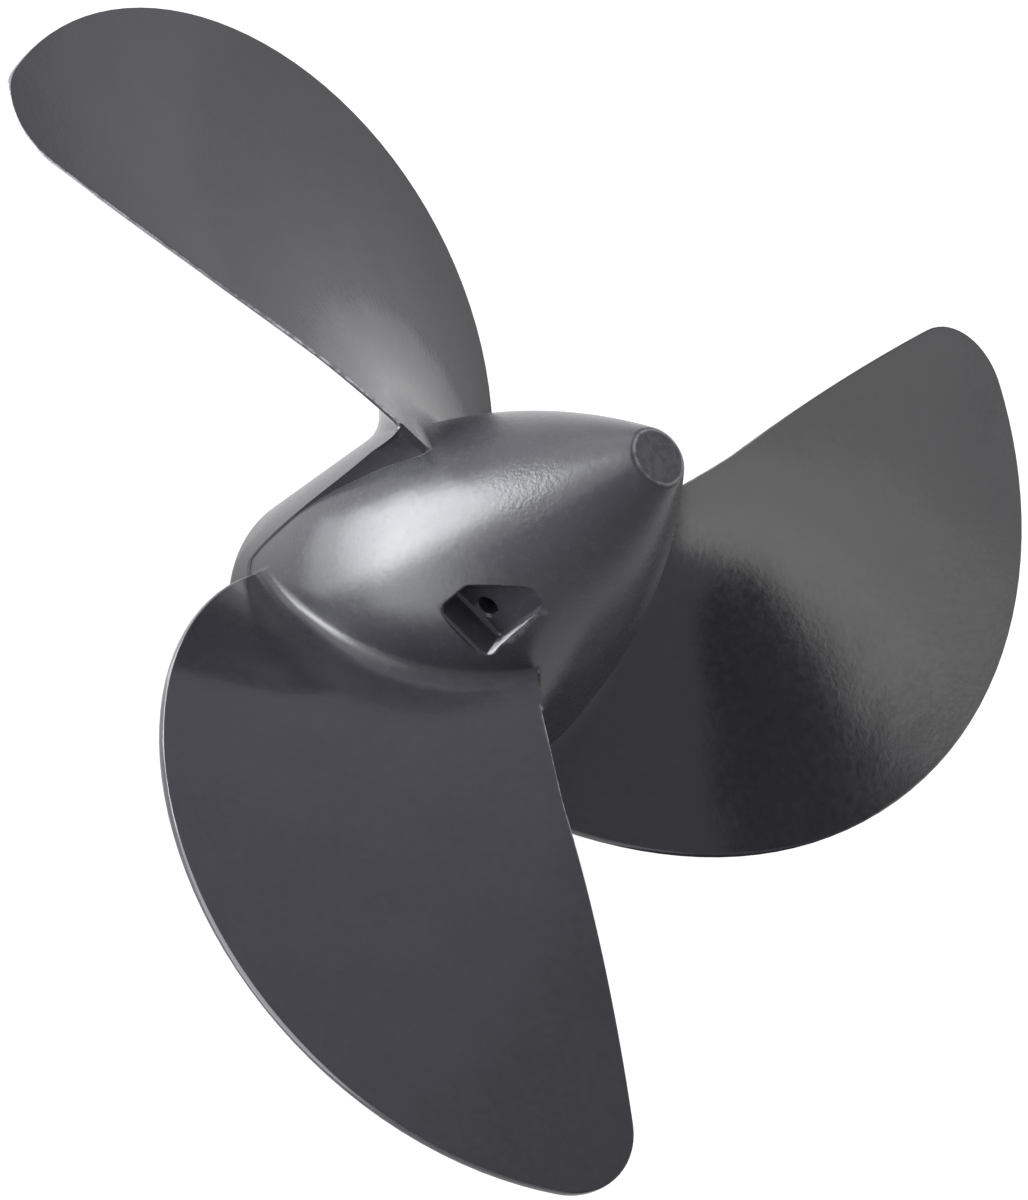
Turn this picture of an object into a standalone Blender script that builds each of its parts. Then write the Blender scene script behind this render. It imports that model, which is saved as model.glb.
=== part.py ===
"""Small three-bladed boat propeller with a closed, tapered nose.

The propeller is one die casting with a rubber bush pressed into its front, and a drive sleeve inside
the bush. +Z points aft along the shaft, the origin is on the shaft axis in the plane of the hub's
front rim, and the first blade's generator line lies along +X. Seen from aft the propeller turns
clockwise to drive the boat forward: it is right-handed.
"""

import math

import bmesh
import bpy
import numpy as np

MM = 0.001  # sizes below are written in millimetres

# Hub
HUB_RADIUS = 23.9 * MM
HUB_LENGTH = 67.0 * MM
TAPER_START = 14.0 * MM  # height where the hub starts to narrow towards the nose
TAPER_POWER = 1.8  # 1 is a cone, more is a rounder ogive
NOSE_RADIUS = 4.2 * MM  # flat disc that closes the nose

# Skirt: the part of the hub in front of the blades, shaped by the front half of the die
SKIRT_RADIUS = 24.15 * MM
SKIRT_INNER = 17.0 * MM
SKIRT_GAP_HEIGHT = 5.0 * MM  # height of the skirt's ring between two blades
STEP_FOOT = math.radians(15)  # lower end of the step behind a trailing edge, on the ring
STEP_BOW = 0.4  # 1 is a straight step, less rounds its upper corner

# Blades
BLADES = 3
TIP_RADIUS = 95.1 * MM
PITCH = 114.1 * MM
FACE_HEIGHT = 37.95 * MM  # aft face at angle 0 and MID_RADIUS
MID_RADIUS = 60.0 * MM
RAKE = 0.017  # rise for each metre of radius
RAKE_BEND = -0.36  # its change, for each metre squared
LEADING_ARC = 52.2 * MM
TIP_ARC = 9.8 * MM
TRAILING_ARC = 435.0 * MM
TIP_ANGLE = math.radians(4.9)  # where the blade touches the tip circle
LEADING_TANGENT = math.radians(2.0)  # where the leading arc meets the tip arc, about its centre
TRAILING_TANGENT = math.radians(101.6)  # and where the trailing arc does
TRAILING_ROOT = math.radians(2)  # angle where the trailing edge leaves the hub
ROOT_THICKNESS = 5.4 * MM
TIP_THICKNESS = 2.2 * MM
EDGE_THICKNESS = 1.2 * MM
TRAILING_TAPER = 1.5  # 1 is thickest at mid-chord, more is thinner towards the trailing edge
BLADE_START = 17.5 * MM  # inside the hub, so that the blade fuses with it

# Bores, from the front
BUSH_BORE_RADIUS = 15.5 * MM
BUSH_BORE_DEPTH = 30.0 * MM
SHAFT_BORE_RADIUS = 6.3 * MM
SHAFT_BORE_DEPTH = 44.0 * MM

# Split pin: a hole across the hub and a pocket at each end of it
PIN_HEIGHT = 38.9 * MM
PIN_HOLE_RADIUS = 1.4 * MM
POCKET_FLOOR = 15.0 * MM  # distance from the axis
POCKET_BOTTOM = 36.7 * MM
POCKET_HALF_WIDTH = 4.4 * MM
POCKET_CORNER_DROP = 4.6 * MM  # height of the straight side before the cut corner
POCKET_TOP = 49.0 * MM

# Rubber bush and drive sleeve
GAP = 0.3 * MM
SLEEVE_RADIUS = 9.0 * MM
SLEEVE_BORE_RADIUS = 6.1 * MM
SLEEVE_FRONT = 0.8 * MM
BUSH_FRONT = 1.6 * MM
SLOT_WIDTH = 5.0 * MM
SLOT_DEPTH = 5.2 * MM

# Fineness of the round shapes
HUB_SIDES = 72
HUB_RINGS = 16
BLADE_STATIONS = 20
CHORD_STATIONS = 10


def polar(radius, angle):
    return np.array([radius * math.cos(angle), radius * math.sin(angle)])


TIP_CENTRE = polar(TIP_RADIUS - TIP_ARC, TIP_ANGLE)
LEADING_CENTRE = TIP_CENTRE - polar(LEADING_ARC - TIP_ARC, LEADING_TANGENT)
TRAILING_CENTRE = TIP_CENTRE - polar(TRAILING_ARC - TIP_ARC, TRAILING_TANGENT)


def hub_radius(z):
    """Radius of the aft part of the hub at a height."""
    along = max(z - TAPER_START, 0) / (HUB_LENGTH - TAPER_START)
    return HUB_RADIUS - (HUB_RADIUS - NOSE_RADIUS) * along**TAPER_POWER


def face_height(radius, angle):
    """Height of a blade's aft face: a helicoid with a slight rake."""
    out = radius - MID_RADIUS
    return FACE_HEIGHT + PITCH * angle / (2 * math.pi) + RAKE * out + RAKE_BEND * out**2


def crossing(radius, centre, arc, side):
    """Angle at which a circle about the shaft meets an arc of the blade's outline."""
    reach = np.linalg.norm(centre)
    cosine = (radius**2 + reach**2 - arc**2) / (2 * radius * reach)
    return math.atan2(centre[1], centre[0]) + side * math.acos(min(1, max(-1, cosine)))


def leading_angle(radius):
    tangent = TIP_CENTRE + polar(TIP_ARC, LEADING_TANGENT)
    if radius < np.linalg.norm(tangent):
        return crossing(radius, LEADING_CENTRE, LEADING_ARC, -1)
    return crossing(radius, TIP_CENTRE, TIP_ARC, -1)


def trailing_angle(radius):
    tangent = TIP_CENTRE + polar(TIP_ARC, TRAILING_TANGENT)
    if radius < np.linalg.norm(tangent):
        return max(crossing(radius, TRAILING_CENTRE, TRAILING_ARC, 1), TRAILING_ROOT)
    return crossing(radius, TIP_CENTRE, TIP_ARC, 1)


def blade_drop(radius, chord):
    """Height from the aft face down to the forward face, at a fraction of the chord."""
    out = (radius - HUB_RADIUS) / (TIP_RADIUS - HUB_RADIUS)
    middle = ROOT_THICKNESS + (TIP_THICKNESS - ROOT_THICKNESS) * min(max(out, 0), 1) ** 0.8
    fullest = 1 / (1 + TRAILING_TAPER)
    bulge = chord * (1 - chord) ** TRAILING_TAPER / (fullest * (1 - fullest) ** TRAILING_TAPER)
    thickness = EDGE_THICKNESS + (middle - EDGE_THICKNESS) * bulge
    turn = 2 * math.pi * radius
    return thickness * math.hypot(turn, PITCH) / turn


def painted(name, colour, roughness, metallic=0.0):
    material = bpy.data.materials.new(name)
    material.use_nodes = True
    shader = material.node_tree.nodes["Principled BSDF"]
    shader.inputs["Base Color"].default_value = (*colour, 1)
    shader.inputs["Roughness"].default_value = roughness
    shader.inputs["Metallic"].default_value = metallic
    return material


def solid(name, points, faces, material=None):
    """An object from points and faces, with its faces turned outwards."""
    mesh = bpy.data.meshes.new(name)
    mesh.from_pydata([tuple(p) for p in points], [], faces)
    shape = bmesh.new()
    shape.from_mesh(mesh)
    bmesh.ops.recalc_face_normals(shape, faces=shape.faces)
    shape.to_mesh(mesh)
    shape.free()
    mesh.shade_smooth()
    mesh.set_sharp_from_angle(angle=math.radians(35))
    if material:
        mesh.materials.append(material)
    made = bpy.data.objects.new(name, mesh)
    bpy.context.collection.objects.link(made)
    return made


def turned(name, profile, material=None, sides=HUB_SIDES):
    """A solid of revolution about Z, from (radius, height) points with flat ends."""
    points = []
    for radius, z in profile:
        for k in range(sides):
            points.append((*polar(radius, 2 * math.pi * k / sides), z))
    faces = []
    for i in range(len(profile) - 1):
        for k in range(sides):
            a, b = i * sides + k, i * sides + (k + 1) % sides
            faces.append((a, b, b + sides, a + sides))
    last = (len(profile) - 1) * sides
    faces.append(tuple(range(sides)))
    faces.append(tuple(range(last, last + sides)))
    return solid(name, points, faces, material)


def turned_ring(name, profile, material, sides=HUB_SIDES):
    """A ring about Z from a closed (radius, height) section."""
    points = [(*polar(r, 2 * math.pi * k / sides), z) for r, z in profile for k in range(sides)]
    faces = []
    for i in range(len(profile)):
        j = (i + 1) % len(profile)
        for k in range(sides):
            n = (k + 1) % sides
            faces.append((i * sides + k, i * sides + n, j * sides + n, j * sides + k))
    return solid(name, points, faces, material)


def prism(name, outline, low, high):
    """An upright prism across Y, from (x, z) corners."""
    points = [(x, low, z) for x, z in outline] + [(x, high, z) for x, z in outline]
    n = len(outline)
    faces = [tuple(range(n)), tuple(range(n, 2 * n))]
    faces += [(k, (k + 1) % n, n + (k + 1) % n, n + k) for k in range(n)]
    return solid(name, points, faces)


def combine(target, tool, operation):
    """Fuse or cut with another object, which stays in the file as a guide."""
    modifier = target.modifiers.new(f"{operation.lower()}_{tool.name}", "BOOLEAN")
    modifier.operation = operation
    modifier.solver = "EXACT"
    modifier.object = tool
    tool.hide_render = True
    tool.display_type = "WIRE"


def hub_body(material):
    heights = [0, TAPER_START]
    for k in range(1, HUB_RINGS + 1):
        heights.append(TAPER_START + (HUB_LENGTH - TAPER_START) * (k / HUB_RINGS) ** 0.85)
    profile = [(hub_radius(z), z) for z in heights]
    return turned("propeller_casting", profile, material)


def skirt_height(angle):
    """Top of the skirt at an angle from a blade's generator, from -105 to 15 degrees."""
    leading = leading_angle(SKIRT_RADIUS)
    if angle < leading:
        return SKIRT_GAP_HEIGHT
    under = face_height(SKIRT_RADIUS, angle) - 0.5 * blade_drop(SKIRT_RADIUS, 0)
    return max(under, SKIRT_GAP_HEIGHT)


def step_edge(steps=8):
    """Angles and heights down the step behind a trailing edge."""
    top = skirt_height(TRAILING_ROOT)
    for k in range(steps + 1):
        down = (k / steps) ** 2
        z = top + (SKIRT_GAP_HEIGHT - top) * down
        yield TRAILING_ROOT + (STEP_FOOT - TRAILING_ROOT) * down**STEP_BOW, z


def skirt_body():
    """The ring and the three blade carriers, as one closed ring about the shaft."""
    rim = []
    leading = leading_angle(SKIRT_RADIUS)
    for angle in np.linspace(math.radians(-105) + 0.05, leading - 0.02, 4):
        rim.append((angle, SKIRT_GAP_HEIGHT))
    for angle in np.linspace(leading, TRAILING_ROOT, 22, endpoint=False):
        rim.append((angle, skirt_height(angle)))
    rim += list(step_edge())
    points = []
    for blade in range(BLADES):
        turn = 2 * math.pi * blade / BLADES
        for angle, top in rim:
            inner = polar(SKIRT_INNER, angle + turn)
            outer = polar(SKIRT_RADIUS, angle + turn)
            points += [(*inner, 0), (*outer, 0), (*outer, top), (*inner, top)]
    count = len(points) // 4
    faces = []
    for k in range(count):
        n = (k + 1) % count
        for a in range(4):
            b = (a + 1) % 4
            faces.append((4 * k + a, 4 * n + a, 4 * n + b, 4 * k + b))
    return solid("skirt_guide", points, faces)


def blade_body(index):
    """One blade: an aft and a forward face that meet in a thin edge."""
    turn = 2 * math.pi * index / BLADES
    outward = [math.sin(0.5 * math.pi * k / BLADE_STATIONS) for k in range(BLADE_STATIONS + 1)]
    end = TIP_RADIUS - 0.1 * MM
    radii = [BLADE_START + (end - BLADE_START) * u for u in outward]
    chords = [0.5 - 0.5 * math.cos(math.pi * k / CHORD_STATIONS) for k in range(CHORD_STATIONS + 1)]
    points = []
    aft, forward = {}, {}
    for i, radius in enumerate(radii):
        first, last = leading_angle(radius), trailing_angle(radius)
        for j, chord in enumerate(chords):
            angle = first + (last - first) * chord
            top = face_height(radius, angle)
            drop = blade_drop(radius, chord)
            on_edge = j in (0, CHORD_STATIONS) or i == BLADE_STATIONS
            x, y = polar(radius, angle + turn)
            if on_edge:
                aft[i, j] = forward[i, j] = len(points)
                points.append((x, y, top - 0.5 * drop))
            else:
                aft[i, j] = len(points)
                points.append((x, y, top))
                forward[i, j] = len(points)
                points.append((x, y, top - drop))
    faces = []
    for i in range(BLADE_STATIONS):
        for j in range(CHORD_STATIONS):
            corners = ((i, j), (i + 1, j), (i + 1, j + 1), (i, j + 1))
            faces.append(tuple(aft[c] for c in corners))
            faces.append(tuple(forward[c] for c in reversed(corners)))
    root = [aft[0, j] for j in range(CHORD_STATIONS + 1)]
    root += [forward[0, j] for j in range(CHORD_STATIONS - 1, 0, -1)]
    faces.append(tuple(root))
    return solid(f"blade_{index + 1}_guide", points, faces)


def bore_cutter():
    profile = [
        (BUSH_BORE_RADIUS, -2 * MM),
        (BUSH_BORE_RADIUS, BUSH_BORE_DEPTH),
        (SHAFT_BORE_RADIUS, BUSH_BORE_DEPTH),
        (SHAFT_BORE_RADIUS, SHAFT_BORE_DEPTH),
    ]
    return turned("bore_cutter", profile, sides=48)


def pin_hole_cutter():
    reach = HUB_RADIUS + 6 * MM
    profile = [(PIN_HOLE_RADIUS, -reach), (PIN_HOLE_RADIUS, reach)]
    cutter = turned("pin_hole_cutter", profile, sides=16)
    cutter.rotation_euler.x = math.radians(90)
    cutter.location.z = PIN_HEIGHT
    return cutter


def pocket_cutter(name, side):
    """A flat-floored pocket around the split pin hole, with one far corner cut back."""
    w = POCKET_HALF_WIDTH * side
    corner = POCKET_BOTTOM + POCKET_CORNER_DROP
    outline = [
        (-w, POCKET_BOTTOM),
        (w, POCKET_BOTTOM),
        (w, corner),
        (0.4 * w, corner + 3.6 * MM),
        (-0.4 * w, POCKET_TOP),
        (-w, POCKET_TOP),
    ]
    return prism(name, outline, side * POCKET_FLOOR, side * 2 * POCKET_FLOOR)


def casting():
    material = painted("grey_paint", (0.075, 0.075, 0.082), 0.38)
    body = hub_body(material)
    combine(body, skirt_body(), "UNION")
    for index in range(BLADES):
        combine(body, blade_body(index), "UNION")
    combine(body, bore_cutter(), "DIFFERENCE")
    for name, side in (("pocket_cutter", 1), ("far_pocket_cutter", -1)):
        combine(body, pocket_cutter(name, side), "DIFFERENCE")
    combine(body, pin_hole_cutter(), "DIFFERENCE")
    return body


def rubber_bush():
    inner, outer = SLEEVE_RADIUS + GAP, BUSH_BORE_RADIUS - GAP
    back = BUSH_BORE_DEPTH - GAP
    chamfer = 0.8 * MM
    section = [
        (inner, BUSH_FRONT),
        (outer - chamfer, BUSH_FRONT),
        (outer, BUSH_FRONT + chamfer),
        (outer, back),
        (inner, back),
    ]
    material = painted("black_rubber", (0.02, 0.02, 0.02), 0.8)
    return turned_ring("rubber_bush", section, material, sides=48)


def drive_sleeve():
    back = BUSH_BORE_DEPTH - GAP
    chamfer = 0.5 * MM
    section = [
        (SLEEVE_BORE_RADIUS + chamfer, SLEEVE_FRONT),
        (SLEEVE_RADIUS, SLEEVE_FRONT),
        (SLEEVE_RADIUS, back),
        (SLEEVE_BORE_RADIUS, back),
        (SLEEVE_BORE_RADIUS, SLEEVE_FRONT + chamfer),
    ]
    material = painted("bare_brass", (0.55, 0.42, 0.2), 0.35, 1.0)
    sleeve = turned_ring("drive_sleeve", section, material, sides=48)
    reach = SLEEVE_RADIUS + 3 * MM
    slot_end = SLEEVE_FRONT + SLOT_DEPTH
    corners = [(-reach, -2 * MM), (reach, -2 * MM), (reach, slot_end), (-reach, slot_end)]
    slot = prism("pin_slot_cutter", corners, -SLOT_WIDTH / 2, SLOT_WIDTH / 2)
    combine(sleeve, slot, "DIFFERENCE")
    return sleeve


def build():
    for old in list(bpy.data.objects):
        bpy.data.objects.remove(old, do_unlink=True)
    casting()
    rubber_bush()
    drive_sleeve()


build()
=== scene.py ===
# %% [markdown]
# A small boat propeller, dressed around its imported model
#
# The propeller is one aluminium die casting under dark grey enamel: a hub that narrows to a flat
# nose, and three wide blades. A rubber bush and a brass drive sleeve sit in its open front. The
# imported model, called the frame here, already holds these three pieces at their real size. This
# script rebuilds each of them with a finer surface, gives it the finish that the real one has,
# and sets up the light and the camera.

import math

import bmesh
import bpy
import numpy as np
from mathutils import Matrix, Vector


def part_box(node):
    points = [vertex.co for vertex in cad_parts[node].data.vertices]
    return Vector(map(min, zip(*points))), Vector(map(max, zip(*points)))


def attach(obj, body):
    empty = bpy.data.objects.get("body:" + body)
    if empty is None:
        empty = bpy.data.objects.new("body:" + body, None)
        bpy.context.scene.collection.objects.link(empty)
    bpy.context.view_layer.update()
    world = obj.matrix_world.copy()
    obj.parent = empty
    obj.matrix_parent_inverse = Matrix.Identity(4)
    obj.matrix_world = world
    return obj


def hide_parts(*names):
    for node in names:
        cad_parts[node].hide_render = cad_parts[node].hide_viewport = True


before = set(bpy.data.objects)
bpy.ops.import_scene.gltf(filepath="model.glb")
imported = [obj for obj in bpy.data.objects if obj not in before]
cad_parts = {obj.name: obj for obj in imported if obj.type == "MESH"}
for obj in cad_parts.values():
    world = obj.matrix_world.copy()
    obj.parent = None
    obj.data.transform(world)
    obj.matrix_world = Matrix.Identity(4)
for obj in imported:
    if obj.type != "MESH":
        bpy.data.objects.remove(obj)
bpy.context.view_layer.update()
casting_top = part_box("propeller_casting")[1].z
print("frame:", ", ".join(sorted(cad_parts)), "top at", round(casting_top * 1000, 1), "mm")

# %% [markdown]
# Sizes
#
# A propeller is drawn from a few numbers: the hub's profile, the pitch, which is how far a blade
# would screw forward in one turn, and three arcs for the blade's outline. They are in millimetres
# here because that is how such a part is measured, and MM turns them into Blender's metres when a
# mesh is made. The length comes from the frame, so that both stay the same size.

# %% Sizes in millimetres
MM = 0.001
BLADES = 3
SECTOR = 2 * math.pi / BLADES

# The hub.
HUB_LENGTH = casting_top / MM
HUB_RADIUS = 23.9
TAPER_START = 14.0  # the hub is straight up to this height
TAPER_POWER = 1.8
NOSE_RADIUS = 4.2
NOSE_ROUNDING = 0.5
SKIRT_RADIUS = 24.15  # the front half of the die makes the hub a little wider
RING_HEIGHT = 5.0  # height of that wider part between two blades

# The blade's aft face.
PITCH = 114.1
FACE_HEIGHT = 37.95  # at the middle radius and at angle 0
MID_RADIUS = 60.0
RAKE = 0.017
RAKE_BEND = -0.36e-3

# Its outline: three arcs, and a flare of the trailing edge beside the hub.
TIP_RADIUS = 95.1
TIP_ANGLE = math.radians(4.9)
TIP_ARC = 9.8
LEADING_ARC = 52.2
LEADING_TANGENT = math.radians(2.0)
TRAILING_ARC = 435.0
TRAILING_TANGENT = math.radians(101.6)
FLARE_END = 40.0
FLARE_SPAN = 20.0
ROOT_FLARE = 2.2  # how far the trailing edge swings out over that span
FLARE_POWER = 1.35

# Its thickness.
ROOT_THICKNESS = 5.4
TIP_THICKNESS = 2.2
THINNING_POWER = 0.8  # below 1, so most of the thinning is near the hub
LEADING_THICKNESS = 1.2
TRAILING_THICKNESS = 0.75
TRAILING_TAPER = 1.5
TIP_FADE = 6.0  # over this last stretch the blade thins to its edge
EDGE_ROUND = 0.22  # how far the flat faces stop short of the outline
ROOT_EDGE_ROUND = 0.12  # the same beside the hub
EDGE_SPAN = 10.0  # the distance over which one becomes the other
INNER_TIP = TIP_RADIUS - EDGE_ROUND
print(f"blade tips on a circle of {2 * TIP_RADIUS:.0f} mm, pitch {PITCH:.0f} mm")

# %% [markdown]
# The hub and the blade as formulas
#
# The hub is a body of revolution, so one function of the height gives its radius. A blade's aft
# face is a helicoid: a straight line that turns about the shaft while it climbs, which one
# function of radius and angle describes. The outline is three arcs that meet without a corner,
# seen along the shaft. Where a circle about the shaft crosses such an arc gives the angle of the
# blade's edge at that radius. Beside the hub the trailing edge swings out a little from its arc.
# `inset` pulls the outline in, to leave room for the round edge.

# %% Formulas for hub and blade
def polar(radius, angle):
    return np.array([radius * math.cos(angle), radius * math.sin(angle)])


TIP_CENTRE = polar(TIP_RADIUS - TIP_ARC, TIP_ANGLE)
LEADING_CENTRE = TIP_CENTRE - polar(LEADING_ARC - TIP_ARC, LEADING_TANGENT)
TRAILING_CENTRE = TIP_CENTRE - polar(TRAILING_ARC - TIP_ARC, TRAILING_TANGENT)


def hub_radius(z):
    along = max(z - TAPER_START, 0) / (HUB_LENGTH - TAPER_START)
    return HUB_RADIUS - (HUB_RADIUS - NOSE_RADIUS) * along**TAPER_POWER


def face_height(radius, angle):
    out = radius - MID_RADIUS
    return FACE_HEIGHT + PITCH * angle / (2 * math.pi) + RAKE * out + RAKE_BEND * out**2


def edge_of_blade(radius, side, inset=0.0):
    """Angle of the blade's edge at a radius, and the centre of its arc. Side -1 leads."""
    centre, arc = (LEADING_CENTRE, LEADING_ARC) if side < 0 else (TRAILING_CENTRE, TRAILING_ARC)
    tangent = LEADING_TANGENT if side < 0 else TRAILING_TANGENT
    if radius >= np.linalg.norm(TIP_CENTRE + polar(TIP_ARC - inset, tangent)):
        centre, arc = TIP_CENTRE, TIP_ARC
    arc -= inset
    reach = np.linalg.norm(centre)
    cosine = (radius**2 + reach**2 - arc**2) / (2 * radius * reach)
    angle = math.atan2(centre[1], centre[0]) + side * math.acos(min(1, max(-1, cosine)))
    if side > 0 and radius < FLARE_END:
        angle += ROOT_FLARE * ((FLARE_END - radius) / FLARE_SPAN) ** FLARE_POWER / radius
    return angle, centre


def edge_inset(radius):
    """How far the flat faces stop short of the outline. The edge is sharper at the root."""
    share = min(1, max(0, (radius - SKIRT_RADIUS) / EDGE_SPAN))
    return ROOT_EDGE_ROUND + (EDGE_ROUND - ROOT_EDGE_ROUND) * share


def thickness_below(radius, chord):
    """Height from the aft face down to the forward face, at a fraction of the chord."""
    out = (radius - HUB_RADIUS) / (TIP_RADIUS - HUB_RADIUS)
    thinning = min(max(out, 0), 1) ** THINNING_POWER
    middle = ROOT_THICKNESS + (TIP_THICKNESS - ROOT_THICKNESS) * thinning
    fullest = 1 / (1 + TRAILING_TAPER)
    bulge = chord * (1 - chord) ** TRAILING_TAPER / (fullest * (1 - fullest) ** TRAILING_TAPER)
    to_tip = min(1, max(0, INNER_TIP - radius) / TIP_FADE) ** 0.5
    bulge *= to_tip
    edge = LEADING_THICKNESS + (TRAILING_THICKNESS - LEADING_THICKNESS) * chord * to_tip
    turn = 2 * math.pi * radius
    return (edge + (middle - edge) * bulge) * math.hypot(turn, PITCH) / turn


lead, trail = (edge_of_blade(MID_RADIUS, side)[0] for side in (-1, 1))
print(f"a blade is {(trail - lead) * MID_RADIUS:.0f} mm wide along the {MID_RADIUS:.0f} mm circle")

# %% [markdown]
# One third of the casting, as a net of points
#
# The casting repeats three times round the shaft, so one third is built and turned. It could be
# made from a hub and blades joined by a Boolean, but the soft fillets at the blade roots would
# then have no clean place to start. Instead the whole skin is one net. A column of the net runs
# from the nose down the hub, round the fillet and out along the blade's aft face. The next piece
# of net covers the forward face in the same way, and narrow strips wrap round the blade's edges.

# %% Tools for the net
CHORD_STEPS = 44  # faces across a blade
SPAN_STEPS = 46  # faces from its root to its tip
FILLET_STEPS = 7
FILLET_PULL = 0.58  # 0.55 would draw a quarter circle

net_points, net_faces = [], []


def at(radius, angle, z):
    """A point from its radius, angle and height."""
    return np.array([radius * math.cos(angle), radius * math.sin(angle), z])


def lay(grid):
    """Add rows of points to the net, with faces between neighbouring rows and columns."""
    grid = np.asarray(grid)
    rows, columns = grid.shape[:2]
    start = len(net_points)
    net_points.extend(grid.reshape(-1, 3))
    for i in range(rows - 1):
        for j in range(columns - 1):
            a = start + i * columns + j
            net_faces.append((a, a + 1, a + columns + 1, a + columns))


def zip_up(left, right):
    """Fill the gap between two lines of points that have different numbers of points."""
    start = len(net_points)
    net_points.extend(left)
    net_points.extend(right)
    along = []
    for line in (left, right):
        steps = [np.linalg.norm(b - a) for a, b in zip(line, line[1:])]
        along.append(np.concatenate([[0], np.cumsum(steps)]) / max(sum(steps), 1e-9))
    i = j = 0
    while i < len(left) - 1 or j < len(right) - 1:
        here, there = start + i, start + len(left) + j
        step_left = j == len(right) - 1 or (
            i < len(left) - 1 and along[0][i + 1] <= along[1][j + 1]
        )
        if step_left:
            net_faces.append((here, here + 1, there))
            i += 1
        else:
            net_faces.append((here, there + 1, there))
            j += 1


def fillet(wall, corner, face, steps=FILLET_STEPS):
    """Points of a smooth hollow from a wall to a face that would meet in a corner."""
    a, b = wall + FILLET_PULL * (corner - wall), face + FILLET_PULL * (corner - face)
    t = np.linspace(0, 1, steps + 1)[:, None]
    return (1 - t) ** 3 * wall + 3 * (1 - t) ** 2 * t * a + 3 * (1 - t) * t**2 * b + t**3 * face


def blade_angle(radius, chord):
    """Angle at a fraction of the chord, on the part of the face inside the round edge."""
    radius = max(radius, SKIRT_RADIUS)
    first = edge_of_blade(radius, -1, edge_inset(radius))[0]
    last = edge_of_blade(radius, 1, edge_inset(radius))[0]
    return first + (last - first) * chord


chords = 0.5 - 0.5 * np.cos(np.linspace(0, math.pi, CHORD_STEPS + 1))
spans = np.sin(np.linspace(0, math.pi / 2, SPAN_STEPS + 1))
root_angles = [blade_angle(SKIRT_RADIUS, s) for s in chords]
lead, trail = (math.degrees(root_angles[j]) for j in (0, -1))
print(f"blade root from {lead:.1f} to {trail:.1f} degrees")

# %% [markdown]
# The aft side: nose, hub and blade face
#
# The column for each fraction of the chord has four stretches. The first rounds the edge of the
# nose, the second follows the hub at one angle, the third is the fillet, and the last goes out
# along the face to the tip. The real fillet is about 3 mm. It is a little tighter at the leading
# edge, and tight at the trailing edge.

# %% The aft side of one blade
NOSE_ROWS = (1.4, 2.6, 3.3)  # radii of the rows of points on the nose's flat
NOSE_STEPS = 5
HUB_STEPS = 44
HUB_SPACING = 0.9  # below 1, so the rows get closer together down the hub
NEAR_STEPS = 3
NEAR_WIDTH = 0.6  # a narrow band of the face, beyond the fillet
AFT_FILLET = 2.8
LEADING_SHARE = 0.85  # how much of the fillet is left at the leading edge
TRAILING_LOSS = 0.55  # how much less is left at the trailing edge
SETTLING_ROUNDS = 40


def nose_and_hub(angle, z_end):
    """Points from the flat of the nose, over its rounded edge and down the hub."""
    flat = [at(r, angle, HUB_LENGTH) for r in (*NOSE_ROWS, NOSE_RADIUS - NOSE_ROUNDING)]
    z = HUB_LENGTH - NOSE_ROUNDING
    corner, wall = at(NOSE_RADIUS, angle, HUB_LENGTH), at(hub_radius(z), angle, z)
    edge = fillet(flat[-1], corner, wall, NOSE_STEPS)
    heights = z + (z_end - z) * np.linspace(0, 1, HUB_STEPS + 1)[1:] ** HUB_SPACING
    return flat[:-1] + list(edge) + [at(hub_radius(h), angle, h) for h in heights]


def aft_column(j):
    """Points from the nose to the blade's tip, at one fraction of the chord."""
    s, angle = chords[j], root_angles[j]
    z = FACE_HEIGHT
    for _ in range(SETTLING_ROUNDS):  # settles where the blade's face meets the hub
        z = face_height(hub_radius(z), angle)
    ends = LEADING_SHARE - TRAILING_LOSS * s**6
    size = AFT_FILLET * (ends + (1 - LEADING_SHARE) * math.sin(math.pi * s))
    start = hub_radius(z) + size
    wall = at(hub_radius(z + size), angle, z + size)
    corner = at(hub_radius(z), angle, z)
    near = SKIRT_RADIUS if j == CHORD_STEPS else max(start + NEAR_WIDTH, SKIRT_RADIUS)
    radii = [*np.linspace(start, near, NEAR_STEPS + 1), *(near + (INNER_TIP - near) * spans[1:])]
    face = [at(r, blade_angle(r, s), face_height(r, blade_angle(r, s))) for r in radii]
    return nose_and_hub(angle, z + size) + list(fillet(wall, corner, face[0]))[1:] + face[1:]


aft = np.array([aft_column(j) for j in range(CHORD_STEPS + 1)])
HUB_ROWS = aft.shape[1] - FILLET_STEPS - NEAR_STEPS - SPAN_STEPS
NEAR_ROW = HUB_ROWS - 1 + FILLET_STEPS + NEAR_STEPS  # the outer row of the narrow band
lay(aft)
print("aft side:", aft.shape[0], "columns of", aft.shape[1], "points")

# %% [markdown]
# The forward side: blade face and skirt
#
# The forward face hangs below the aft face by the blade's thickness, which is fullest a little
# ahead of mid-chord, as on any small casting that has to fill well. Its fillet is larger, about
# 6 mm but tight at the trailing edge, and ends on the skirt, which then runs down to the rim.

# %% The forward side of one blade
SKIRT_STEPS = 6
RIM_ROUNDING = 0.5
RING_BLEND = 1.2  # the hub widens to the ring over this height
FORWARD_FILLET = 6.5
TIGHT_FROM = 0.75  # the fillet gets tighter from this fraction of the chord on
FORWARD_LOSS = 0.8  # and by this share at the trailing edge


def skirt_wall(z):
    """Radius of the wall that the leading edge springs from: the hub above, the ring below."""
    share = min(max((RING_HEIGHT + RING_BLEND - z) / RING_BLEND, 0), 1)
    return HUB_RADIUS + (SKIRT_RADIUS - HUB_RADIUS) * share


def forward_point(radius, chord):
    angle = blade_angle(radius, chord)
    return at(radius, angle, face_height(radius, angle) - thickness_below(radius, chord))


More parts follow.
